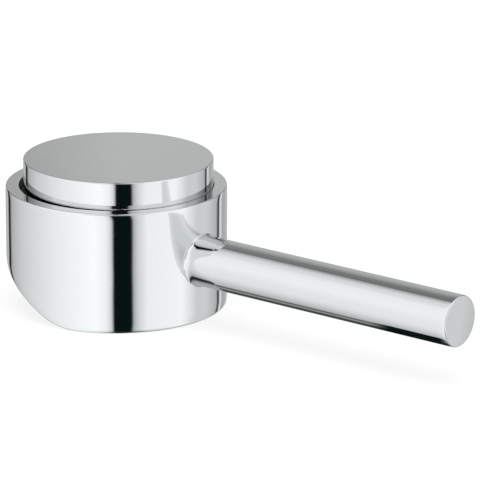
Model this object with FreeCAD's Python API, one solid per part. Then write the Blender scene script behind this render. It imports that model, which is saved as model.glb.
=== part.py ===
import FreeCAD, Part
import math
import os

# Single-lever tap handle, in millimetres.
# The origin is the centre of the stem socket's mouth. +Z points up the tap's axis, +X along the lever.

# Cup
cup_diameter = 46.0
cup_height = 25.3
cup_wall = 2.8
recess_depth = 5.0
plate_thickness = 2.5
edge_break = 0.3
casting_bevel = 1.2

# Relief cut at the back of the skirt, which lets the handle tilt
relief_angle = 24.7
relief_corner_x = 3.2
relief_radius = 22.0

# Stem socket, lined with a moulded insert
stem_square = 8.0
stem_clearance = 0.1
insert_wall = 1.3
insert_corner = 1.0
insert_clearance = 0.05
insert_lead_in = 0.6
socket_corner = 0.3
socket_depth = 10.3
hub_wall = 2.0

# Lever, cast in one with the cup, and the rib that carries it inside the skirt
lever_diameter = 10.5
lever_reach = 86.8
lever_axis_above_rim = 13.0
lever_end_round = 0.35
lever_root_fillet = 0.45
rib_thickness = 4.5
rib_round = 1.2

# Cap, a hollow plug with a groove for a square-cut sealing ring
cap_gap = 0.5
cap_proud = 5.6
cap_wall = 2.0
cap_top_thickness = 2.0
cap_inner_bevel = 0.8
cap_lead_in = 0.4
groove_depth = 1.0
groove_above_plate = 1.2
ring_height = 1.7
ring_side_clearance = 0.15

# Fixing screw
screw_diameter = 5.0
screw_length = 8.0
screw_hole_clearance = 0.25
screw_neck_diameter = 4.1
screw_neck_run_out = 1.0
screw_tip_chamfer = 0.5
head_diameter = 9.5
head_height = 3.2
head_bevel = 0.6
key_across_flats = 3.0
key_depth = 1.9

# Heights, counted from the socket's mouth
plate_under_z = socket_depth
plate_top_z = plate_under_z + plate_thickness
cup_top_z = plate_top_z + recess_depth
rim_z = cup_top_z - cup_height
cap_top_z = cup_top_z + cap_proud
lever_axis_z = rim_z + lever_axis_above_rim

# Radii and half widths
cup_radius = cup_diameter / 2
cavity_radius = cup_radius - cup_wall
cap_radius = cavity_radius - cap_gap
groove_floor_radius = cap_radius - groove_depth
socket_half = stem_square / 2 + stem_clearance
insert_half = socket_half + insert_wall
pocket_half = insert_half + insert_clearance
pocket_corner = insert_corner + insert_clearance
pocket_reach = math.hypot(pocket_half, pocket_half) - (math.sqrt(2) - 1) * pocket_corner
hub_radius = pocket_reach + hub_wall
wall_middle_radius = cup_radius - cup_wall / 2
lever_radius = lever_diameter / 2
screw_radius = screw_diameter / 2

# How far a cutting tool runs past the metal, and how close counts as touching
overshoot = 5.0
touch = 0.01


def in_xz(u, v):
    return FreeCAD.Vector(u, 0, v)


def in_xy(u, v):
    return FreeCAD.Vector(u, v, 0)


def in_yz(u, v):
    return FreeCAD.Vector(0, u, v)


def outline(corners, plane=in_xz):
    """Flat face from corners (u, v, radius); a corner with a radius becomes a tangent arc."""
    joints = []
    for index, (u, v, radius) in enumerate(corners):
        corner = plane(u, v)
        to_last = (plane(*corners[index - 1][:2]) - corner).normalize()
        to_next = (plane(*corners[(index + 1) % len(corners)][:2]) - corner).normalize()
        half_turn = to_last.getAngle(to_next) / 2
        run = radius / math.tan(half_turn)
        inward = (to_last + to_next).normalize()
        middle = corner + inward * (radius / math.sin(half_turn) - radius)
        joints.append((corner + to_last * run, middle, corner + to_next * run, radius))
    edges = []
    for index, (start, middle, end, radius) in enumerate(joints):
        if radius > 0:
            edges.append(Part.Arc(start, middle, end).toShape())
        following = joints[(index + 1) % len(joints)][0]
        if end.distanceToPoint(following) > touch:
            edges.append(Part.LineSegment(end, following).toShape())
    return Part.Face(Part.Wire(edges))


def turned(corners, axis):
    return outline(corners).revolve(FreeCAD.Vector(0, 0, 0), axis, 360)


def about_z(corners):
    return turned(corners, FreeCAD.Vector(0, 0, 1))


def rounded_square(half, corner_radius, low_z, high_z):
    corners = [(su * half, sv * half, corner_radius) for su, sv in ((1, 1), (-1, 1), (-1, -1), (1, -1))]
    face = outline(corners, in_xy)
    face.translate(FreeCAD.Vector(0, 0, low_z))
    return face.extrude(FreeCAD.Vector(0, 0, high_z - low_z))


def relief_tool():
    """Everything below the skirt's slanted back edge, which leaves the rim on an arc."""
    back_x = -cup_radius - overshoot
    back_z = rim_z + (relief_corner_x - back_x) * math.tan(math.radians(relief_angle))
    low_z = rim_z - overshoot
    front_x = cup_radius + overshoot
    face = outline([
        (front_x, rim_z, 0),
        (relief_corner_x, rim_z, relief_radius),
        (back_x, back_z, 0),
        (back_x, low_z, 0),
        (front_x, low_z, 0),
    ])
    face.translate(FreeCAD.Vector(0, -front_x, 0))
    return face.extrude(FreeCAD.Vector(0, 2 * front_x, 0))


def lies_on(value, target):
    return abs(value - target) < touch


def skirt_rim_edges(cup):
    """Outer and inner edges of the skirt's lower rim, on its flat and its slanted stretch."""
    found = []
    for edge in cup.Edges:
        middle = edge.valueAt((edge.FirstParameter + edge.LastParameter) / 2)
        reach = math.hypot(middle.x, middle.y)
        on_wall = lies_on(reach, cup_radius) or lies_on(reach, cavity_radius)
        upright = lies_on(edge.BoundBox.XLength, 0) and lies_on(edge.BoundBox.YLength, 0)
        if on_wall and not upright and middle.z < plate_under_z - casting_bevel - touch:
            found.append(edge)
    return found


def lever_root_edges(body):
    """Edges where the lever leaves the cup's side."""
    found = []
    for edge in body.Edges:
        middle = edge.valueAt((edge.FirstParameter + edge.LastParameter) / 2)
        on_cup = lies_on(math.hypot(middle.x, middle.y), cup_radius)
        on_lever = lies_on(math.hypot(middle.y, middle.z - lever_axis_z), lever_radius)
        if on_cup and on_lever:
            found.append(edge)
    return found


def make_lever():
    lever = turned([
        (wall_middle_radius, 0, 0),
        (wall_middle_radius, lever_radius, 0),
        (lever_reach, lever_radius, lever_end_round),
        (lever_reach, 0, 0),
    ], FreeCAD.Vector(1, 0, 0))
    lever.translate(FreeCAD.Vector(0, 0, lever_axis_z))
    return lever


def make_lever_rib():
    """Rib inside the skirt, from the hub to the wall behind the lever."""
    half = rib_thickness / 2
    section = outline([
        (-half, plate_under_z, 0),
        (-half, 0, rib_round),
        (half, 0, rib_round),
        (half, plate_under_z, 0),
    ], in_yz)
    return section.extrude(FreeCAD.Vector(wall_middle_radius, 0, 0))


def make_handle_body():
    cup = about_z([
        (0, 0, 0),
        (hub_radius, 0, 0),
        (hub_radius, plate_under_z - casting_bevel, 0),
        (hub_radius + casting_bevel, plate_under_z, 0),
        (cavity_radius - casting_bevel, plate_under_z, 0),
        (cavity_radius, plate_under_z - casting_bevel, 0),
        (cavity_radius, rim_z, 0),
        (cup_radius, rim_z, 0),
        (cup_radius, cup_top_z - edge_break, 0),
        (cup_radius - edge_break, cup_top_z, 0),
        (cavity_radius + edge_break, cup_top_z, 0),
        (cavity_radius, cup_top_z - edge_break, 0),
        (cavity_radius, plate_top_z, 0),
        (0, plate_top_z, 0),
    ])
    cup = cup.cut(relief_tool())
    cup = cup.makeChamfer(edge_break, skirt_rim_edges(cup))
    body = cup.fuse([make_lever_rib(), make_lever()])
    body = body.cut(rounded_square(pocket_half, pocket_corner, -overshoot, plate_under_z))
    body = body.cut(Part.makeCylinder(screw_radius + screw_hole_clearance, plate_top_z))
    body = body.removeSplitter()
    return body.makeFillet(lever_root_fillet, lever_root_edges(body))


def make_cover_cap():
    groove_low_z = plate_top_z + groove_above_plate
    groove_high_z = groove_low_z + ring_height + 2 * ring_side_clearance
    inner_radius = cap_radius - cap_wall
    roof_z = cap_top_z - cap_top_thickness
    return about_z([
        (0, roof_z, 0),
        (inner_radius - cap_inner_bevel, roof_z, 0),
        (inner_radius, roof_z - cap_inner_bevel, 0),
        (inner_radius, plate_top_z, 0),
        (cap_radius - cap_lead_in, plate_top_z, 0),
        (cap_radius, plate_top_z + cap_lead_in, 0),
        (cap_radius, groove_low_z, 0),
        (groove_floor_radius, groove_low_z, 0),
        (groove_floor_radius, groove_high_z, 0),
        (cap_radius, groove_high_z, 0),
        (cap_radius, cap_top_z - edge_break, 0),
        (cap_radius - edge_break, cap_top_z, 0),
        (0, cap_top_z, 0),
    ])


def make_cap_seal_ring():
    low_z = plate_top_z + groove_above_plate + ring_side_clearance
    high_z = low_z + ring_height
    return about_z([
        (groove_floor_radius, low_z, 0),
        (cavity_radius, low_z, 0),
        (cavity_radius, high_z, 0),
        (groove_floor_radius, high_z, 0),
    ])


def make_stem_insert():
    sleeve = rounded_square(insert_half, insert_corner, 0, plate_under_z)
    sleeve = sleeve.cut(rounded_square(socket_half, socket_corner, -overshoot, plate_under_z + overshoot))
    mouth = [edge for edge in sleeve.Edges if edge.BoundBox.ZMax < touch]
    middles = [(edge, edge.BoundBox.Center) for edge in mouth]
    lead_in = [edge for edge, at in middles if max(abs(at.x), abs(at.y)) < socket_half + touch]
    return sleeve.makeChamfer(insert_lead_in, lead_in)


def make_fixing_screw():
    neck_radius = screw_neck_diameter / 2
    neck_end_z = plate_under_z - screw_neck_run_out
    tip_z = plate_top_z - screw_length
    head_top_z = plate_top_z + head_height
    screw = about_z([
        (0, tip_z, 0),
        (screw_radius - screw_tip_chamfer, tip_z, 0),
        (screw_radius, tip_z + screw_tip_chamfer, 0),
        (screw_radius, neck_end_z, 0),
        (neck_radius, neck_end_z, 0),
        (neck_radius, plate_top_z, 0),
        (head_diameter / 2, plate_top_z, 0),
        (head_diameter / 2, head_top_z - head_bevel, 0),
        (head_diameter / 2 - head_bevel, head_top_z, 0),
        (0, head_top_z, 0),
    ])
    key_radius = key_across_flats / math.sqrt(3)
    turns = [math.radians(60 * step) for step in range(6)]
    key = outline([(key_radius * math.cos(t), key_radius * math.sin(t), 0) for t in turns], in_xy)
    key.translate(FreeCAD.Vector(0, 0, head_top_z - key_depth))
    return screw.cut(key.extrude(FreeCAD.Vector(0, 0, key_depth + overshoot)))


pieces = {
    "handle_body": make_handle_body(),
    "cover_cap": make_cover_cap(),
    "cap_seal_ring": make_cap_seal_ring(),
    "stem_insert": make_stem_insert(),
    "fixing_screw": make_fixing_screw(),
}

os.makedirs("parts", exist_ok=True)
for name, shape in pieces.items():
    shape.exportStep("parts/" + name + ".step")
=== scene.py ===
import math

import bmesh
import bpy
from mathutils import Matrix, Quaternion, Vector


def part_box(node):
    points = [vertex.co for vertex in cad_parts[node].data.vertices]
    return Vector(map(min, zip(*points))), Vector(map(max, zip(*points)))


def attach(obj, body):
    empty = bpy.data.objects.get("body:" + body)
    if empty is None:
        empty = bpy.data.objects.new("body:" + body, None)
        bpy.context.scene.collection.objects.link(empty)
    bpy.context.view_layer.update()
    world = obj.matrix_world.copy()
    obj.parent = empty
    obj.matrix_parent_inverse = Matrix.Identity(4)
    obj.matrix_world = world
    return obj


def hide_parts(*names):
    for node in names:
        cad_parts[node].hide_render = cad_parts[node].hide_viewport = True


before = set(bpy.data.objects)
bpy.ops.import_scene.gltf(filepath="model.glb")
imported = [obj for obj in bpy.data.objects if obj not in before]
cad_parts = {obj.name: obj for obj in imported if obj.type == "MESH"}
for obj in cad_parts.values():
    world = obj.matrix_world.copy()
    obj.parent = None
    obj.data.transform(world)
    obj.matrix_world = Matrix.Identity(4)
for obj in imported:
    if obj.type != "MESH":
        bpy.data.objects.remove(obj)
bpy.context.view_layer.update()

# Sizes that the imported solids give, in metres
MM = 0.001
body_low, body_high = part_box("handle_body")
cap_low, cap_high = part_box("cover_cap")
seal_low, seal_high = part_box("cap_seal_ring")
insert_low, insert_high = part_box("stem_insert")
screw_low, screw_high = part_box("fixing_screw")

rim_z = body_low.z
cup_top_z = body_high.z
cup_radius = -body_low.x
lever_reach = body_high.x
plate_top_z = cap_low.z
plate_under_z = insert_high.z
hub_face_z = insert_low.z
recess_radius = seal_high.x
cap_radius = cap_high.x
cap_top_z = cap_high.z
insert_half = insert_high.x
head_radius = screw_high.x
head_top_z = screw_high.z
screw_tip_z = screw_low.z

# Cup and lever
lever_radius = 5.25 * MM
lever_axis_z = rim_z + 13.0 * MM
lever_root_fillet = 0.45 * MM
lever_root_run_out = 2.0 * MM
lever_end_round = 0.22 * MM
lever_end_fall = 0.05 * MM
lever_end_rows = [1.8 * MM, 1.0 * MM, 0.5 * MM, 0.0]
hub_radius = 9.27 * MM
hub_round = 0.5 * MM
rib_thickness = 4.5 * MM
rib_round = 1.2 * MM
casting_round = 1.2 * MM
pocket_half = insert_half + 0.05 * MM
pocket_corner = 1.05 * MM
screw_hole_radius = 2.75 * MM
polished_edge = 0.25 * MM
rim_edge = 0.25 * MM

# How far the buffing wheel has drawn the cup's outer wall in towards its top and its rim
top_fall = 0.10 * MM
top_fall_rows = [0.0, 0.4 * MM, 0.8 * MM, 1.4 * MM]
rim_fall = 0.12 * MM
rim_fall_rows = [0.0, 0.4 * MM, 0.9 * MM, 1.5 * MM, 2.2 * MM]

# Slanted relief at the back of the skirt
relief_angle = math.radians(24.7)
relief_corner_x = 3.2 * MM
relief_radius = 22.0 * MM

# Cap and its sealing ring
cap_wall = 2.0 * MM
cap_roof = 2.0 * MM
cap_inner_round = 0.8 * MM
cap_lead_in = 0.4 * MM
groove_depth = 1.0 * MM
groove_floor = cap_radius - groove_depth
groove_clearance = 0.15 * MM
seal_round = 0.2 * MM

# How far the cap is pushed to one side in the play of its seat
cap_off_centre = Vector((0.35, 0.27, 0.0)) * MM

# Insert and screw
insert_corner = 1.0 * MM
socket_half = 4.1 * MM
socket_corner = 0.3 * MM
insert_lead_in = 0.6 * MM
thread_radius = 2.5 * MM
thread_pitch = 0.8 * MM
thread_depth = 0.49 * MM
thread_end_z = plate_under_z - 1.0 * MM
neck_radius = 2.05 * MM
core_radius = 1.9 * MM
tip_chamfer = 0.5 * MM
head_round = 0.6 * MM
key_across_flats = 3.0 * MM
key_depth = 1.9 * MM

# Faces round the tap's axis, and along each side of the window in the wall that the lever grows out of
around = 288
window = 28
wall_step = math.tau * cup_radius / around
window_half = wall_step * window / 2

# Points as close as near count as one place, and those as close as weld are joined
near = 0.002 * MM
weld = 0.001 * MM

# How far a cutting shape passes the surface that it cuts
overcut = 1.0 * MM

# Folds sharper than these stay sharp
sharp_fold = math.radians(40)
thread_fold = math.radians(35)

# Least cosine between a face and the true form that it is shaded as
same_form = 0.7


def srgb(hexcode):
    """Linear colour, with alpha, of an sRGB hex value."""
    parts = [int(hexcode[i:i + 2], 16) / 255 for i in (0, 2, 4)]
    return [c / 12.92 if c <= 0.04045 else ((c + 0.055) / 1.055) ** 2.4 for c in parts] + [1.0]


def add_node(tree, kind, inputs=None, **settings):
    """Adds a node; each input is a plain value or the socket that feeds it."""
    node = tree.nodes.new(kind)
    for name, value in settings.items():
        setattr(node, name, value)
    for name, value in (inputs or {}).items():
        if isinstance(value, bpy.types.NodeSocket):
            tree.links.new(value, node.inputs[name])
        else:
            node.inputs[name].default_value = value
    return node


def new_material(name):
    """Empty material with its tree and the surface socket to feed."""
    material = bpy.data.materials.new(name)
    material.use_nodes = True
    tree = material.node_tree
    tree.nodes.clear()
    output = tree.nodes.new("ShaderNodeOutputMaterial")
    return material, tree, output.inputs["Surface"]


def bright_chrome():
    """Decorative chrome on polished zinc: a cool mirror, faintly wavy from the buffing wheel."""
    material, tree, surface = new_material("bright_chrome_on_polished_zinc")
    place = add_node(tree, "ShaderNodeTexCoord").outputs["Object"]
    buffing_wave = 11.0 * MM
    haze_patch = 3.0 * MM
    grain_size = 0.25 * MM
    wave = add_node(tree, "ShaderNodeTexNoise", {"Vector": place, "Scale": 1 / buffing_wave, "Detail": 1.0})
    haze = add_node(tree, "ShaderNodeTexNoise", {"Vector": place, "Scale": 1 / haze_patch, "Detail": 6.0})
    rough = add_node(tree, "ShaderNodeMapRange", {
        "Value": haze.outputs["Fac"], "From Min": 0.3, "From Max": 0.7, "To Min": 0.04, "To Max": 0.06})
    grain = add_node(tree, "ShaderNodeTexNoise", {"Vector": place, "Scale": 1 / grain_size, "Detail": 2.0})
    tone = add_node(tree, "ShaderNodeMix", {
        "Factor": grain.outputs["Fac"], "A": srgb("CED0D1"), "B": srgb("DADCDD")}, data_type="RGBA")
    bump = add_node(tree, "ShaderNodeBump", {
        "Height": wave.outputs["Fac"], "Strength": 1.0, "Distance": 0.03 * MM})
    shader = add_node(tree, "ShaderNodeBsdfPrincipled", {
        "Base Color": tone.outputs["Result"], "Metallic": 1.0,
        "Roughness": rough.outputs["Result"], "Normal": bump.outputs["Normal"]})
    tree.links.new(shader.outputs["BSDF"], surface)
    return material


def cast_inside():
    """Unpolished zinc under a thin flash of chrome: dull grey with the fine grain of the die."""
    material, tree, surface = new_material("as_cast_zinc_with_chrome_flash")
    place = add_node(tree, "ShaderNodeTexCoord").outputs["Object"]
    grain_size = 0.35 * MM
    flow_size = 6.0 * MM
    grain = add_node(tree, "ShaderNodeTexNoise", {"Vector": place, "Scale": 1 / grain_size, "Detail": 4.0})
    flow = add_node(tree, "ShaderNodeTexNoise", {
        "Vector": place, "Scale": 1 / flow_size, "Detail": 3.0, "Distortion": 0.8})
    rough = add_node(tree, "ShaderNodeMapRange", {
        "Value": flow.outputs["Fac"], "To Min": 0.32, "To Max": 0.55})
    tone = add_node(tree, "ShaderNodeMix", {
        "Factor": flow.outputs["Fac"], "A": srgb("A9ABAB"), "B": srgb("BFC1C2")}, data_type="RGBA")
    bump = add_node(tree, "ShaderNodeBump", {
        "Height": grain.outputs["Fac"], "Strength": 0.5, "Distance": 0.02 * MM})
    shader = add_node(tree, "ShaderNodeBsdfPrincipled", {
        "Base Color": tone.outputs["Result"], "Metallic": 1.0,
        "Roughness": rough.outputs["Result"], "Normal": bump.outputs["Normal"]})
    tree.links.new(shader.outputs["BSDF"], surface)
    return material


def nitrile_rubber():
    """Moulded black nitrile: soft sheen with a greyish bloom."""
    material, tree, surface = new_material("moulded_nitrile_rubber")
    place = add_node(tree, "ShaderNodeTexCoord").outputs["Object"]
    bloom_size = 2.0 * MM
    bloom = add_node(tree, "ShaderNodeTexNoise", {"Vector": place, "Scale": 1 / bloom_size, "Detail": 5.0})
    tone = add_node(tree, "ShaderNodeMix", {
        "Factor": bloom.outputs["Fac"], "A": srgb("0B0B0C"), "B": srgb("1D1E1E")}, data_type="RGBA")
    rough = add_node(tree, "ShaderNodeMapRange", {
        "Value": bloom.outputs["Fac"], "To Min": 0.5, "To Max": 0.72})
    bump = add_node(tree, "ShaderNodeBump", {
        "Height": bloom.outputs["Fac"], "Strength": 0.4, "Distance": 0.03 * MM})
    shader = add_node(tree, "ShaderNodeBsdfPrincipled", {
        "Base Color": tone.outputs["Result"], "Roughness": rough.outputs["Result"],
        "IOR": 1.52, "Normal": bump.outputs["Normal"]})
    tree.links.new(shader.outputs["BSDF"], surface)
    return material


def acetal():
    """Natural acetal, injection moulded: milky white with a waxy sheen and a spark-eroded skin."""
    material, tree, surface = new_material("moulded_natural_acetal")
    place = add_node(tree, "ShaderNodeTexCoord").outputs["Object"]
    skin_size = 0.25 * MM
    cloud_size = 4.0 * MM
    skin = add_node(tree, "ShaderNodeTexNoise", {"Vector": place, "Scale": 1 / skin_size, "Detail": 3.0})
    cloud = add_node(tree, "ShaderNodeTexNoise", {"Vector": place, "Scale": 1 / cloud_size, "Detail": 2.0})
    tone = add_node(tree, "ShaderNodeMix", {
        "Factor": cloud.outputs["Fac"], "A": srgb("DEDBD1"), "B": srgb("EDEBE4")}, data_type="RGBA")
    rough = add_node(tree, "ShaderNodeMapRange", {
        "Value": skin.outputs["Fac"], "To Min": 0.36, "To Max": 0.52})
    bump = add_node(tree, "ShaderNodeBump", {
        "Height": skin.outputs["Fac"], "Strength": 0.4, "Distance": 0.01 * MM})
    shader = add_node(tree, "ShaderNodeBsdfPrincipled", {
        "Base Color": tone.outputs["Result"], "Roughness": rough.outputs["Result"], "IOR": 1.48,
        "Subsurface Weight": 0.15, "Subsurface Radius": (1.0, 0.9, 0.8), "Subsurface Scale": 0.6 * MM,
        "Normal": bump.outputs["Normal"]})
    tree.links.new(shader.outputs["BSDF"], surface)
    return material


def stainless_steel():
    """Cold-headed stainless steel with a rolled thread: grey, with fine rings from the die."""
    material, tree, surface = new_material("cold_headed_stainless_steel")
    place = add_node(tree, "ShaderNodeTexCoord").outputs["Object"]
    ring_spacing = 0.12 * MM
    stain_size = 1.5 * MM
    # At scale 1 the wave texture's rings are tau / 20 apart
    rings = add_node(tree, "ShaderNodeTexWave", {
        "Vector": place, "Scale": math.tau / ring_spacing / 20, "Distortion": 1.0, "Detail": 1.0},
        wave_type="RINGS", rings_direction="Z")
    stain = add_node(tree, "ShaderNodeTexNoise", {"Vector": place, "Scale": 1 / stain_size, "Detail": 4.0})
    tone = add_node(tree, "ShaderNodeMix", {
        "Factor": stain.outputs["Fac"], "A": srgb("A3A29E"), "B": srgb("BDBCB9")}, data_type="RGBA")
    rough = add_node(tree, "ShaderNodeMapRange", {
        "Value": stain.outputs["Fac"], "To Min": 0.22, "To Max": 0.38})
    bump = add_node(tree, "ShaderNodeBump", {
        "Height": rings.outputs["Fac"], "Strength": 0.3, "Distance": 0.004 * MM})
    shader = add_node(tree, "ShaderNodeBsdfPrincipled", {
        "Base Color": tone.outputs["Result"], "Metallic": 1.0,
        "Roughness": rough.outputs["Result"], "Normal": bump.outputs["Normal"]})
    tree.links.new(shader.outputs["BSDF"], surface)
    return material


def turned(profile, closed=False):
    """Solid of revolution about the tap's axis, from (radius, height) corners."""
    bm = bmesh.new()
    corners = [bm.verts.new((radius, 0, height)) for radius, height in profile]
    following = corners[1:] + corners[:1] if closed else corners[1:]
    lines = [bm.edges.new(pair) for pair in zip(corners, following)]
    bmesh.ops.spin(bm, geom=corners + lines, cent=(0, 0, 0), axis=(0, 0, 1), dvec=(0, 0, 0),
                   angle=math.tau, steps=around, use_merge=True)
    bmesh.ops.remove_doubles(bm, verts=bm.verts, dist=weld)
    bmesh.ops.recalc_face_normals(bm, faces=bm.faces)
    return bm


def ring_edges(bm, radius, height):
    """Edges of the circle at that radius and height about the tap's axis."""
    def on_ring(vert):
        return abs(vert.co.xy.length - radius) < near and abs(vert.co.z - height) < near
    return [edge for edge in bm.edges if on_ring(edge.verts[0]) and on_ring(edge.verts[1])]


def round_off(bm, edges, size, segments):
    """Rounds the edges off, or chamfers them where one segment is given."""
    bmesh.ops.bevel(bm, geom=edges, offset=size, offset_type="OFFSET", segments=segments, profile=0.5,
                    affect="EDGES", material=-1, clamp_overlap=True)


def rounded_square(half, corner, height):
    """A flat square face with round corners, facing up."""
    bm = bmesh.new()
    level = Matrix.Translation((0, 0, height))
    bmesh.ops.create_grid(bm, x_segments=1, y_segments=1, size=half, matrix=level)
    bmesh.ops.bevel(bm, geom=bm.verts[:], offset=corner, offset_type="OFFSET", segments=6, profile=0.5,
                    affect="VERTICES", material=-1)
    return bm


def extrude_faces(bm, vector):
    """Draws all the faces of a flat sheet out into a solid."""
    grown = bmesh.ops.extrude_face_region(bm, geom=bm.faces[:], use_keep_orig=True)["geom"]
    moved = [item for item in grown if isinstance(item, bmesh.types.BMVert)]
    bmesh.ops.translate(bm, verts=moved, vec=vector)
    bmesh.ops.recalc_face_normals(bm, faces=bm.faces)
    return bm


def keep_folds(mesh, angle):
    """Shows a mesh smooth, apart from the folds that are sharper than the angle."""
    mesh.shade_smooth()
    mesh.set_sharp_from_angle(angle=angle)


def to_object(bm, name):
    """Mesh object at the origin, shown smooth, with its sharp folds kept."""
    mesh = bpy.data.meshes.new(name)
    bm.to_mesh(mesh)
    bm.free()
    keep_folds(mesh, sharp_fold)
    piece = bpy.data.objects.new(name, mesh)
    bpy.context.scene.collection.objects.link(piece)
    return piece


def combine(piece, tool_mesh, operation):
    """Joins the piece with, or cuts it by, another closed mesh, which is used up."""
    tool = to_object(tool_mesh, "tool")
    modifier = piece.modifiers.new("shape", "BOOLEAN")
    modifier.operation = operation
    modifier.solver = "EXACT"
    modifier.object = tool
    made = bpy.data.meshes.new_from_object(piece.evaluated_get(bpy.context.evaluated_depsgraph_get()))
    piece.modifiers.clear()
    # Corners that the cut left side by side become one, so that the mesh stays closed
    bm = bmesh.new()
    bm.from_mesh(made)
    bmesh.ops.remove_doubles(bm, verts=bm.verts, dist=weld)
    bmesh.ops.dissolve_degenerate(bm, edges=bm.edges, dist=weld)
    bm.to_mesh(made)
    bm.free()
    piece.data = made
    bpy.data.objects.remove(tool)


def finish_piece(piece, node, slot, *materials):
    """Puts the piece in the CAD node's place with its finish."""
    piece.data.materials.clear()
    for material in materials:
        piece.data.materials.append(material)
    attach(piece, "root")
    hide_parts(node)


def even_shading(piece):
    """Lets the large faces set the shading, so that small rounds blend into true flats and walls."""
    modifier = piece.modifiers.new("even shading", "WEIGHTED_NORMAL")
    modifier.mode = "FACE_AREA"
    modifier.weight = 80
    modifier.keep_sharp = True


def skirt_edge_z(x):
    """Height of the skirt's lower edge, which leaves the flat rim on an arc and then slants up."""
    run = relief_radius * math.tan(relief_angle / 2)
    if x >= relief_corner_x + run:
        return rim_z
    if x <= relief_corner_x - run * math.cos(relief_angle):
        return rim_z + (relief_corner_x - x) * math.tan(relief_angle)
    across = relief_corner_x + run - x
    return rim_z + relief_radius - math.sqrt(relief_radius ** 2 - across ** 2)


def buffed_radius(fall, rows, distance):
    """Radius of the cup's outer wall at a distance from an edge that the buffing has drawn in."""
    return cup_radius - fall * (1 - distance / rows[-1]) ** 2


def from_lever_axis(point):
    """Distance of a point from the lever's axis."""
    return math.hypot(point.y, point.z - lever_axis_z)


def cup_shell():
    """The turned cup, with rows of faces on its outer wall that the lever's root can take the place of."""
    window_low = lever_axis_z - window_half
    window_high = lever_axis_z + window_half
    rim_rows = [(buffed_radius(rim_fall, rim_fall_rows, up), rim_z + up) for up in rim_fall_rows]
    wall_rows = [(cup_radius, window_low + wall_step * row) for row in range(window + 1)]
    top_rows = [(buffed_radius(top_fall, top_fall_rows, down), cup_top_z - down)
                for down in reversed(top_fall_rows)]
    profile = [
        (screw_hole_radius, plate_top_z),
        (screw_hole_radius, hub_face_z),
        (hub_radius, hub_face_z),
        (hub_radius, plate_under_z),
        (recess_radius, plate_under_z),
        (recess_radius, rim_z),
    ]
    profile += rim_rows + wall_rows + top_rows
    profile += [(recess_radius, cup_top_z), (recess_radius, plate_top_z)]
    bm = turned(profile, closed=True)
    # The skirt's rows rise with its slanted edge, the lowest ones most
    bottom = rim_z + rim_fall_rows[-1]
    for vert in bm.verts:
        on_skirt = vert.co.xy.length > recess_radius - near
        top = window_high if vert.co.xy.length > recess_radius + near else plate_under_z
        if on_skirt and vert.co.z < top - near:
            share = min((top - vert.co.z) / (top - bottom), 1.0)
            vert.co.z += share * (skirt_edge_z(vert.co.x) - rim_z)
    rim = [edge for edge in bm.edges
           if all(abs(v.co.z - skirt_edge_z(v.co.x)) < near for v in edge.verts)
           and abs(edge.verts[0].co.xy.length - edge.verts[1].co.xy.length) < near]
    round_off(bm, rim, rim_edge, segments=3)
    for radius in (recess_radius, cup_radius - top_fall):
        round_off(bm, ring_edges(bm, radius, cup_top_z), polished_edge, segments=4)
    for radius in (hub_radius, recess_radius):
        round_off(bm, ring_edges(bm, radius, plate_under_z), casting_round, segments=5)
    round_off(bm, ring_edges(bm, hub_radius, hub_face_z), hub_round, segments=3)
    return bm


def grow_lever(bm):
    """Opens the cup's wall, draws the lever out of it and rounds its root and its end."""
    def in_window(face):
        middle = face.calc_center_median()
        on_wall = abs(middle.xy.length - cup_radius) < polished_edge / 2 and middle.x > 0
        across = cup_radius * math.atan2(middle.y, middle.x)
        return on_wall and max(abs(across), abs(middle.z - lever_axis_z)) < window_half
    bmesh.ops.delete(bm, geom=[face for face in bm.faces if in_window(face)], context="FACES")
    border = [edge for edge in bm.edges if edge.is_boundary]
    upright = Matrix.Translation((0, 0, lever_axis_z)) @ Matrix.Rotation(math.pi / 2, 4, "Y")
    root = bmesh.ops.create_circle(bm, segments=4 * window, radius=lever_radius, matrix=upright)["verts"]
    for vert in root:
        vert.co.x = math.sqrt(cup_radius ** 2 - vert.co.y ** 2)
    root_edges = list({edge for vert in root for edge in vert.link_edges})
    spokes = bmesh.ops.bridge_loops(bm, edges=border + root_edges)["edges"]
    bmesh.ops.subdivide_edges(bm, edges=spokes, cuts=3, use_grid_fill=True)
    tip_edges = root_edges
    for left in lever_end_rows:
        drawn = bmesh.ops.extrude_edge_only(bm, edges=tip_edges)["geom"]
        tip = {item for item in drawn if isinstance(item, bmesh.types.BMVert)}
        drawn_edges = [item for item in drawn if isinstance(item, bmesh.types.BMEdge)]
        tip_edges = [edge for edge in drawn_edges if tip.issuperset(edge.verts)]
        narrowed = 1 - lever_end_fall / lever_radius * (1 - left / lever_end_rows[0]) ** 2
        for vert in tip:
            vert.co.x = lever_reach - left
            vert.co.y *= narrowed
            vert.co.z = lever_axis_z + (vert.co.z - lever_axis_z) * narrowed
    bmesh.ops.edgeloop_fill(bm, edges=tip_edges)
    round_off(bm, root_edges, lever_root_fillet, segments=14)
    round_off(bm, tip_edges, lever_end_round, segments=4)
    # The wall's new points lie on flat faces, so they go out to its round, up to the fillet's own rows
    past_corners = window_half * 1.5
    fillet_rows = lever_radius + lever_root_fillet * 0.9
    chord_sag = 0.1 * MM
    for vert in bm.verts:
        reach = from_lever_axis(vert.co)
        if vert.co.x < 0 or reach > past_corners:
            continue
        if abs(vert.co.xy.length - cup_radius) < chord_sag and reach > fillet_rows:
            vert.co.xy = vert.co.xy.normalized() * cup_radius
            continue
        # The fillet runs out along the lever, on a cubic that meets it with no jump in curvature
        wall_x = math.sqrt(cup_radius ** 2 - vert.co.y ** 2)
        if near < vert.co.x - wall_x < lever_root_fillet + near:
            left = max(1 - (vert.co.x - wall_x) / lever_root_fillet, 0.0)
            vert.co.x = wall_x + lever_root_run_out * (1 - left ** (2 / 3))
    bmesh.ops.recalc_face_normals(bm, faces=bm.faces)


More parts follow.
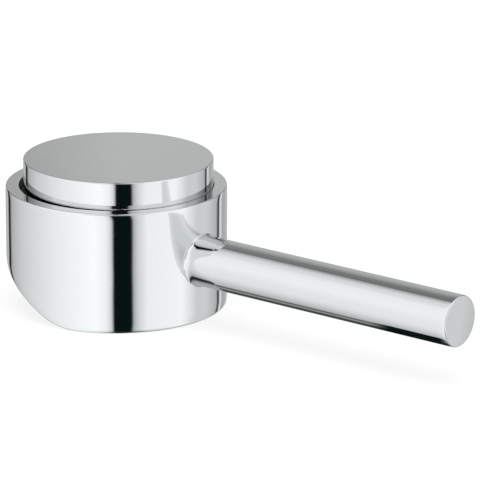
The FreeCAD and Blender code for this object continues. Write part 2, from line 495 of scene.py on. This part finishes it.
def rib():
    """Rib between the hub and the wall behind the lever."""
    wall_middle = (cup_radius + recess_radius) / 2
    bm = bmesh.new()
    bmesh.ops.create_cube(bm, size=1.0)
    height = plate_under_z - hub_face_z + casting_round
    bmesh.ops.scale(bm, vec=(wall_middle - hub_radius / 2, rib_thickness, height), verts=bm.verts)
    middle = ((wall_middle + hub_radius / 2) / 2, 0, hub_face_z + height / 2)
    bmesh.ops.translate(bm, vec=middle, verts=bm.verts)
    low = [edge for edge in bm.edges if all(abs(v.co.z - hub_face_z) < near for v in edge.verts)
           and abs(edge.verts[0].co.y - edge.verts[1].co.y) < near]
    round_off(bm, low, rib_round, segments=5)
    return bm


def true_normal(point, facing):
    """Normal of the true form at a corner of a face, or zero where the mesh's own will do."""
    flats = (cup_top_z, plate_top_z, plate_under_z, hub_face_z)
    if abs(point.xy.length - cup_radius) < near:
        normal = Vector((point.x, point.y, 0.0))
    elif point.x > cup_radius and abs(from_lever_axis(point) - lever_radius) < near / 2:
        normal = Vector((0.0, point.y, point.z - lever_axis_z))
    elif any(abs(point.z - level) < near for level in flats):
        normal = Vector((0.0, 0.0, facing.z))
    else:
        return Vector()
    normal.normalize()
    return normal if normal.dot(facing) > same_form else Vector()


def true_shading(piece):
    """Shades the cup's wall, the lever and the flats as the true forms that they are."""
    mesh = piece.data
    normals = [true_normal(mesh.vertices[index].co, face.normal)
               for face in mesh.polygons for index in face.vertices]
    mesh.normals_split_custom_set(normals)


def make_handle_body(chrome, inside):
    """Cup and lever in one casting, with the hub, its square pocket and the rib under the plate."""
    bm = cup_shell()
    grow_lever(bm)
    body = to_object(bm, "cup_and_lever")
    combine(body, rib(), "UNION")
    pocket = rounded_square(pocket_half, pocket_corner, hub_face_z - overcut)
    combine(body, extrude_faces(pocket, (0, 0, plate_under_z - hub_face_z + overcut)), "DIFFERENCE")
    keep_folds(body.data, sharp_fold)
    finish_piece(body, "handle_body", "body_chrome", chrome, inside)
    # The second finish is for what lies inside the skirt and below the plate
    for face in body.data.polygons:
        reach = face.center.xy.length
        face.material_index = int(reach < recess_radius + near and face.center.z < plate_under_z + near)
    true_shading(body)


def make_cover_cap(chrome):
    """Hollow cap with a groove for its ring."""
    inner_radius = cap_radius - cap_wall
    roof_z = cap_top_z - cap_roof
    groove_low = seal_low.z - groove_clearance
    groove_high = seal_high.z + groove_clearance
    bm = turned([
        (0, roof_z),
        (inner_radius, roof_z),
        (inner_radius, plate_top_z),
        (cap_radius, plate_top_z),
        (cap_radius, groove_low),
        (groove_floor, groove_low),
        (groove_floor, groove_high),
        (cap_radius, groove_high),
        (cap_radius, cap_top_z),
        (0, cap_top_z),
    ])
    round_off(bm, ring_edges(bm, cap_radius, cap_top_z), polished_edge, segments=4)
    round_off(bm, ring_edges(bm, cap_radius, plate_top_z), cap_lead_in, segments=2)
    round_off(bm, ring_edges(bm, inner_radius, roof_z), cap_inner_round, segments=4)
    bmesh.ops.translate(bm, vec=cap_off_centre, verts=bm.verts)
    cap = to_object(bm, "top_cap")
    finish_piece(cap, "cover_cap", "cap_chrome", chrome)
    even_shading(cap)


def make_seal_ring(rubber):
    """Square-cut ring between the cap's groove and the recess."""
    bm = turned([
        (groove_floor, seal_low.z),
        (recess_radius, seal_low.z),
        (recess_radius, seal_high.z),
        (groove_floor, seal_high.z),
    ], closed=True)
    for height in (seal_low.z, seal_high.z):
        round_off(bm, ring_edges(bm, recess_radius, height), seal_round, segments=3)
    # The cap squeezes the ring on the side that it is pushed to
    inner = [vert for vert in bm.verts if vert.co.xy.length < groove_floor + near]
    bmesh.ops.translate(bm, vec=cap_off_centre, verts=inner)
    ring = to_object(bm, "cap_seal")
    finish_piece(ring, "cap_seal_ring", "seal_rubber", rubber)
    even_shading(ring)


def make_stem_insert(plastic):
    """Square sleeve in the hub's pocket, with a lead-in at its mouth."""
    def in_mouth(vert):
        within = max(abs(vert.co.x), abs(vert.co.y)) < socket_half + near
        return within and abs(vert.co.z - insert_low.z) < near
    bm = rounded_square(insert_half, insert_corner, insert_low.z)
    inner_sheet = rounded_square(socket_half, socket_corner, insert_low.z)
    spare = bpy.data.meshes.new("socket outline")
    inner_sheet.to_mesh(spare)
    inner_sheet.free()
    bm.from_mesh(spare)
    bpy.data.meshes.remove(spare)
    bmesh.ops.delete(bm, geom=bm.faces[:], context="FACES_ONLY")
    bmesh.ops.bridge_loops(bm, edges=bm.edges[:])
    extrude_faces(bm, (0, 0, insert_high.z - insert_low.z))
    mouth = [edge for edge in bm.edges if in_mouth(edge.verts[0]) and in_mouth(edge.verts[1])]
    round_off(bm, mouth, insert_lead_in, segments=1)
    insert = to_object(bm, "stem_sleeve")
    finish_piece(insert, "stem_insert", "insert_plastic", plastic)
    even_shading(insert)


def screw_thread():
    """Rolled thread: one pitch of its outline swept along the helix and cut off square."""
    root = thread_radius - thread_depth
    start = screw_tip_z - 2 * thread_pitch
    turns = math.ceil((thread_end_z - start) / thread_pitch) + 1
    steps_a_turn = 48
    # Radius of each corner of the outline, and its place along the pitch
    outline = ((root, 0.0), (root, 0.25), (thread_radius, 0.56), (thread_radius, 0.69), (root, 1.0))
    bm = bmesh.new()
    corners = [bm.verts.new((radius, 0, start + share * thread_pitch)) for radius, share in outline]
    lines = [bm.edges.new(pair) for pair in zip(corners, corners[1:])]
    bmesh.ops.spin(bm, geom=corners + lines, cent=(0, 0, 0), axis=(0, 0, 1),
                   dvec=(0, 0, thread_pitch / steps_a_turn), angle=math.tau * turns,
                   steps=steps_a_turn * turns)
    bmesh.ops.remove_doubles(bm, verts=bm.verts, dist=weld)
    for height, up in ((screw_tip_z, -1), (thread_end_z, 1)):
        bmesh.ops.bisect_plane(bm, geom=bm.verts[:] + bm.edges[:] + bm.faces[:], dist=weld,
                               plane_co=(0, 0, height), plane_no=(0, 0, up), clear_outer=True)
    for vert in bm.verts:
        limit = thread_radius - tip_chamfer + (vert.co.z - screw_tip_z)
        if vert.co.xy.length > limit:
            vert.co.xy = vert.co.xy.normalized() * limit
    bmesh.ops.holes_fill(bm, edges=[edge for edge in bm.edges if edge.is_boundary])
    bmesh.ops.recalc_face_normals(bm, faces=bm.faces)
    return bm


def make_fixing_screw(steel):
    """Screw with a round head, a hexagon socket and a rolled thread."""
    bm = turned([
        (0, screw_tip_z + thread_pitch),
        (core_radius, screw_tip_z + thread_pitch),
        (core_radius, thread_end_z - thread_pitch),
        (neck_radius, thread_end_z),
        (neck_radius, plate_top_z),
        (head_radius, plate_top_z),
        (head_radius, head_top_z),
        (0, head_top_z),
    ])
    round_off(bm, ring_edges(bm, head_radius, head_top_z), head_round, segments=4)
    screw = to_object(bm, "hex_socket_screw")
    combine(screw, screw_thread(), "UNION")
    key = bmesh.new()
    key_floor = Matrix.Translation((0, 0, head_top_z - key_depth))
    bmesh.ops.create_circle(key, cap_ends=True, segments=6, radius=key_across_flats / math.sqrt(3),
                            matrix=key_floor)
    combine(screw, extrude_faces(key, (0, 0, key_depth + overcut)), "DIFFERENCE")
    keep_folds(screw.data, thread_fold)
    finish_piece(screw, "fixing_screw", "screw_steel", steel)


chrome = bright_chrome()
make_handle_body(chrome, cast_inside())
make_cover_cap(chrome)
make_seal_ring(nitrile_rubber())
make_stem_insert(acetal())
make_fixing_screw(stainless_steel())

# Camera
camera_at = Vector((468.4, -561.3, 229.0)) * MM
camera_looks = Vector((-0.58654, 0.75529, -0.29244))
camera_roll = math.radians(0.27)
camera = bpy.data.objects.new("camera", bpy.data.cameras.new("camera"))
camera.data.sensor_width = 36.0
camera.data.lens = 275.1
camera.data.clip_start = 0.01
camera.data.clip_end = 20.0
camera.location = camera_at
camera.rotation_mode = "QUATERNION"
camera.rotation_quaternion = camera_looks.to_track_quat("-Z", "Y") @ Quaternion((0, 0, 1), camera_roll)
bpy.context.scene.collection.objects.link(camera)
bpy.context.scene.camera = camera


def fill_ramp(node, stops, first, last):
    """Sets a colour ramp from (value, brightness) stops that run from first to last."""
    ramp = node.color_ramp
    while len(ramp.elements) > 1:
        ramp.elements.remove(ramp.elements[-1])
    for index, (value, brightness) in enumerate(stops):
        place = (value - first) / (last - first)
        stop = ramp.elements[0] if index == 0 else ramp.elements.new(place)
        stop.position = place
        stop.color = (brightness, brightness, brightness, 1.0)


def studio():
    """A white light tent, seen in the chrome: bright sides, a dark slit in front, a grey back."""
    world = bpy.data.worlds.new("light tent")
    world.use_nodes = True
    tree = world.node_tree
    tree.nodes.clear()
    towards_camera = math.atan2(camera_at.y, camera_at.x)
    way = add_node(tree, "ShaderNodeTexCoord").outputs["Generated"]
    turned_way = add_node(tree, "ShaderNodeVectorRotate", {
        "Vector": way, "Angle": -towards_camera}, rotation_type="Z_AXIS").outputs["Vector"]
    parts = add_node(tree, "ShaderNodeSeparateXYZ", {"Vector": turned_way})
    bearing = add_node(tree, "ShaderNodeMath", {
        0: parts.outputs["Y"], 1: parts.outputs["X"]}, operation="ARCTAN2").outputs["Value"]
    turn = add_node(tree, "ShaderNodeMath", {0: bearing}, operation="ABSOLUTE").outputs["Value"]
    rise = add_node(tree, "ShaderNodeMath", {0: parts.outputs["Z"]}, operation="ARCSINE").outputs["Value"]
    height_share = add_node(tree, "ShaderNodeMapRange", {
        "Value": rise, "From Min": -math.pi / 2, "From Max": math.pi / 2}).outputs["Result"]

    # Bearings in degrees from the camera, counted to its right; those in front lean over with the height
    ahead = add_node(tree, "ShaderNodeMath", {0: parts.outputs["X"], 1: 0.0}, operation="MAXIMUM")
    lean = add_node(tree, "ShaderNodeValToRGB", {"Fac": height_share})
    fill_ramp(lean, [
        (-17, 0.0), (17, math.radians(5.1)), (42, 0.0), (55, 0.0), (70, math.radians(50)),
    ], -90, 90)
    leaning = add_node(tree, "ShaderNodeMath", {
        0: ahead.outputs["Value"], 1: lean.outputs["Color"], 2: bearing}, operation="MULTIPLY_ADD")
    around_share = add_node(tree, "ShaderNodeMapRange", {
        "Value": leaning.outputs["Value"], "From Min": -math.pi, "From Max": math.pi}).outputs["Result"]

    # Brightness of the tent by bearing
    tent = add_node(tree, "ShaderNodeValToRGB", {"Fac": around_share})
    fill_ramp(tent, [
        (-180, 0.565), (-163, 0.49), (-155, 0.69), (-151, 0.10), (-148.5, 0.0), (-145.5, 0.0),
        (-143, 0.35), (-139, 0.58), (-116, 0.86), (-68, 1.20), (-23, 1.44), (-11, 1.28), (-6.0, 0.95),
        (-2.9, 0.0), (15.2, 0.0), (17.2, 0.58), (22, 0.92), (32, 1.26), (72, 1.33), (92, 0.87),
        (106, 0.88), (127, 0.60), (131, 0.03), (133, 0.03), (137, 1.05), (144, 0.49), (160, 0.565),
    ], -180, 180)

    # What the height adds or takes away at the sides and at the back
    side = add_node(tree, "ShaderNodeMapRange", {
        "Value": rise, "From Min": math.radians(-10), "From Max": math.radians(15),
        "To Min": 1.0, "To Max": 1.14})
    back = add_node(tree, "ShaderNodeValToRGB", {"Fac": height_share})
    fill_ramp(back, [
        (-8, 1.0), (2, 0.88), (11, 0.93), (15, 1.04), (24, 0.94), (32, 0.85), (37, 0.78), (43, 0.58),
        (54, 0.43), (70, 0.50),
    ], -90, 90)
    to_side = add_node(tree, "ShaderNodeMapRange", {
        "Value": turn, "From Min": math.radians(55), "From Max": math.radians(85)})
    to_back = add_node(tree, "ShaderNodeMapRange", {
        "Value": turn, "From Min": math.radians(143), "From Max": math.radians(157)})
    near_half = add_node(tree, "ShaderNodeMix", {
        "Factor": to_side.outputs["Result"], "A": 1.0, "B": side.outputs["Result"]})
    gain = add_node(tree, "ShaderNodeMix", {
        "Factor": to_back.outputs["Result"], "A": near_half.outputs["Result"], "B": back.outputs["Color"]})

    # Low down, where only the lever's underside and its root look, two dark lines with a pale gap behind
    # and a wide soft slit in a grey table in front
    below = add_node(tree, "ShaderNodeValToRGB", {"Fac": around_share})
    fill_ramp(below, [
        (-180, 0.07), (-156, 0.07), (-151, 0.37), (-141, 0.37), (-135, 0.16), (-126, 0.16), (-118, 0.68),
        (-110, 0.70), (-96, 0.84), (-80, 1.11), (-62, 1.24), (-38, 1.18), (-24, 1.00), (-17, 0.80),
        (-11, 0.62), (-8, 0.27), (-4, 0.10), (0, 0.02), (12, 0.02), (20, 0.15), (30, 0.26), (35, 0.58),
        (50, 0.68), (75, 0.77), (100, 0.62), (118, 0.72), (160, 0.30),
    ], -180, 180)
    low_down = add_node(tree, "ShaderNodeMapRange", {
        "Value": rise, "From Min": math.radians(-26), "From Max": math.radians(-33)})
    with_table = add_node(tree, "ShaderNodeMix", {
        "Factor": low_down.outputs["Result"], "A": tent.outputs["Color"], "B": below.outputs["Color"]},
        data_type="RGBA")

    # High up behind, the slits close, and the dark back passes softly into the bright left side
    above = add_node(tree, "ShaderNodeValToRGB", {"Fac": around_share})
    fill_ramp(above, [
        (-180, 0.54), (-157, 0.54), (-150, 0.26), (-145, 0.22), (-140, 0.34), (-133, 0.55), (-124, 0.70),
        (-112, 0.88), (112, 0.80), (160, 0.54),
    ], -180, 180)
    behind = add_node(tree, "ShaderNodeMapRange", {
        "Value": turn, "From Min": math.radians(80), "From Max": math.radians(112)})
    high_up = add_node(tree, "ShaderNodeMapRange", {
        "Value": rise, "From Min": math.radians(44), "From Max": math.radians(51),
        "To Max": behind.outputs["Result"]})
    with_roof = add_node(tree, "ShaderNodeMix", {
        "Factor": high_up.outputs["Result"], "A": with_table.outputs["Result"], "B": above.outputs["Color"]},
        data_type="RGBA")

    # A curtain closes the front slit at the height that the flat tops mirror when they are seen from
    # behind, but not for what the rim mirrors in the cap's wall
    ray = add_node(tree, "ShaderNodeLightPath")
    curtain = add_node(tree, "ShaderNodeValToRGB", {"Fac": height_share})
    fill_ramp(curtain, [(2, 0.0), (8, 1.0), (30, 1.0), (38, 0.0)], -90, 90)
    first_seen = add_node(tree, "ShaderNodeMath", {
        0: ray.outputs["Glossy Depth"], 1: 1.5}, operation="LESS_THAN")
    drawn = add_node(tree, "ShaderNodeMath", {
        0: curtain.outputs["Color"], 1: first_seen.outputs["Value"]}, operation="MULTIPLY")
    in_front = add_node(tree, "ShaderNodeMapRange", {
        "Value": turn, "From Min": math.radians(40), "From Max": math.radians(28),
        "To Max": drawn.outputs["Value"]})
    with_curtain = add_node(tree, "ShaderNodeMix", {
        "Factor": in_front.outputs["Result"], "A": with_roof.outputs["Result"], "B": srgb("DDDDDD")},
        data_type="RGBA")

    # The rear corners are in shade at the height that the flat tops mirror
    corner_height = add_node(tree, "ShaderNodeValToRGB", {"Fac": height_share})
    fill_ramp(corner_height, [(7, 0.0), (11, 1.0), (21, 1.0), (26, 0.0)], -90, 90)
    corners = add_node(tree, "ShaderNodeValToRGB", {"Fac": around_share})
    fill_ramp(corners, [
        (-180, 1.05), (-179.5, 1.02), (-179, 0.96), (-178.5, 0.86), (-177, 0.82), (-165, 0.82),
        (-150, 0.70), (-138, 0.48), (-125, 0.54), (-101, 0.76), (-90, 0.84), (-83, 1.0), (80, 1.0),
        (90, 0.82), (100, 0.78), (116, 0.53), (138, 0.32), (148, 0.40), (165, 1.0), (178, 1.0),
        (179, 1.06), (180, 1.05),
    ], -180, 180)
    in_shade = add_node(tree, "ShaderNodeMix", {
        "Factor": corner_height.outputs["Color"], "A": 1.0, "B": corners.outputs["Color"]})
    strength = add_node(tree, "ShaderNodeMath", {
        0: gain.outputs["Result"], 1: in_shade.outputs["Result"]}, operation="MULTIPLY")

    # Stray light tints the darkest parts a little green
    all_round = add_node(tree, "ShaderNodeMix", {
        "Factor": 1.0, "A": with_curtain.outputs["Result"], "B": srgb("0C1816")},
        data_type="RGBA", blend_type="ADD")
    seen = add_node(tree, "ShaderNodeBackground", {
        "Color": all_round.outputs["Result"], "Strength": strength.outputs["Value"]})

    # The camera itself sees plain white
    plain = add_node(tree, "ShaderNodeBackground", {"Color": (1, 1, 1, 1), "Strength": 1.0})
    both = add_node(tree, "ShaderNodeMixShader", {
        "Fac": ray.outputs["Is Camera Ray"], 1: seen.outputs["Background"], 2: plain.outputs["Background"]})
    add_node(tree, "ShaderNodeOutputWorld", {"Surface": both.outputs["Shader"]})
    bpy.context.scene.world = world


def painted_shade_card():
    """Black fan beside the lever, seen only in the chrome: a painted reflection of the shade below the
    lever's end, which only the lower side of the lever's end faces.
    """
    corner = Vector((65 * MM, -4.6 * MM, rim_z + 10.4 * MM))
    reach = 45 * MM
    first_slope = math.radians(-100)
    opening = math.radians(64)
    material, tree, surface = new_material("painted_shade_reflection")
    place = add_node(tree, "ShaderNodeTexCoord").outputs["Object"]
    from_corner = add_node(tree, "ShaderNodeVectorMath", {0: place, 1: corner}, operation="DISTANCE")
    reach_share = add_node(tree, "ShaderNodeMapRange", {
        "Value": from_corner.outputs["Value"], "From Max": reach})
    # It fades towards its corner and towards its outer edge
    solid = add_node(tree, "ShaderNodeValToRGB", {"Fac": reach_share.outputs["Result"]})
    solid.color_ramp.interpolation = "EASE"
    fill_ramp(solid, [(4 * MM, 0.0), (13 * MM, 1.0), (31 * MM, 1.0), (reach, 0.0)], 0.0, reach)
    side = add_node(tree, "ShaderNodeNewGeometry")
    shown = add_node(tree, "ShaderNodeMath", {
        0: solid.outputs["Color"], 1: side.outputs["Backfacing"]}, operation="SUBTRACT", use_clamp=True)
    gone = add_node(tree, "ShaderNodeBsdfTransparent")
    # Painted shade: this black is seen only in the chrome's reflections, never by the camera or by the light
    black = add_node(tree, "ShaderNodeBsdfDiffuse", {"Color": srgb("111C1B")})
    painted_shade_mix = add_node(tree, "ShaderNodeMixShader", {
        "Fac": shown.outputs["Value"], 1: gone.outputs["BSDF"], 2: black.outputs["BSDF"]})
    tree.links.new(painted_shade_mix.outputs["Shader"], surface)
    bm = bmesh.new()
    hub = bm.verts.new(corner)
    tip = bm.verts.new(corner + reach * Vector((0, math.cos(first_slope), math.sin(first_slope))))
    stick = bm.edges.new((hub, tip))
    bmesh.ops.spin(bm, geom=[hub, tip, stick], cent=corner, axis=(1, 0, 0), dvec=(0, 0, 0),
                   angle=opening, steps=12)
    bmesh.ops.remove_doubles(bm, verts=bm.verts, dist=weld)
    shade_card = to_object(bm, "shade_card")
    shade_card.data.materials.append(material)
    # Only reflections see the painted shade
    shade_card.visible_camera = False
    shade_card.visible_diffuse = False
    shade_card.visible_shadow = False


def pale_floor():
    """White sheet that the handle stands on, lit from above and from below."""
    half_side = 2.0
    mottle_size = 60 * MM
    shadow_share = 0.2
    material, tree, surface = new_material("lit_white_table")
    place = add_node(tree, "ShaderNodeTexCoord").outputs["Object"]
    mottle = add_node(tree, "ShaderNodeTexNoise", {"Vector": place, "Scale": 1 / mottle_size, "Detail": 3.0})
    tone = add_node(tree, "ShaderNodeMix", {
        "Factor": mottle.outputs["Fac"], "A": srgb("F4F4F4"), "B": srgb("F8F8F8")}, data_type="RGBA")
    matt = add_node(tree, "ShaderNodeBsdfDiffuse", {"Color": tone.outputs["Result"]})
    # Light from below the sheet leaves only a faint shadow
    glow = add_node(tree, "ShaderNodeEmission", {"Color": tone.outputs["Result"], "Strength": 1.1})
    lit = add_node(tree, "ShaderNodeMixShader", {
        "Fac": shadow_share, 1: glow.outputs["Emission"], 2: matt.outputs["BSDF"]})
    # The underside is left open, so that the handle can be looked at from below
    through = add_node(tree, "ShaderNodeBsdfTransparent")
    side = add_node(tree, "ShaderNodeNewGeometry")
    sheet = add_node(tree, "ShaderNodeMixShader", {
        "Fac": side.outputs["Backfacing"], 1: lit.outputs["Shader"], 2: through.outputs["BSDF"]})
    tree.links.new(sheet.outputs["Shader"], surface)
    bm = bmesh.new()
    level = Matrix.Translation((0, 0, rim_z))
    bmesh.ops.create_grid(bm, x_segments=1, y_segments=1, size=half_side, matrix=level)
    floor = to_object(bm, "floor")
    floor.data.materials.append(material)
    floor.visible_glossy = False


def overhead_light():
    """Wide round lamp above the handle, which the chrome doesn't mirror."""
    light = bpy.data.lights.new("overhead softbox", "AREA")
    light.shape = "DISK"
    light.size = 1.2
    light.energy = 10.0
    lamp = bpy.data.objects.new("overhead softbox", light)
    lamp.location = (0.0, 0.0, 1.2)
    lamp.visible_glossy = False
    lamp.visible_camera = False
    bpy.context.scene.collection.objects.link(lamp)


studio()
pale_floor()
painted_shade_card()
overhead_light()
bpy.context.scene.view_settings.view_transform = "Standard"
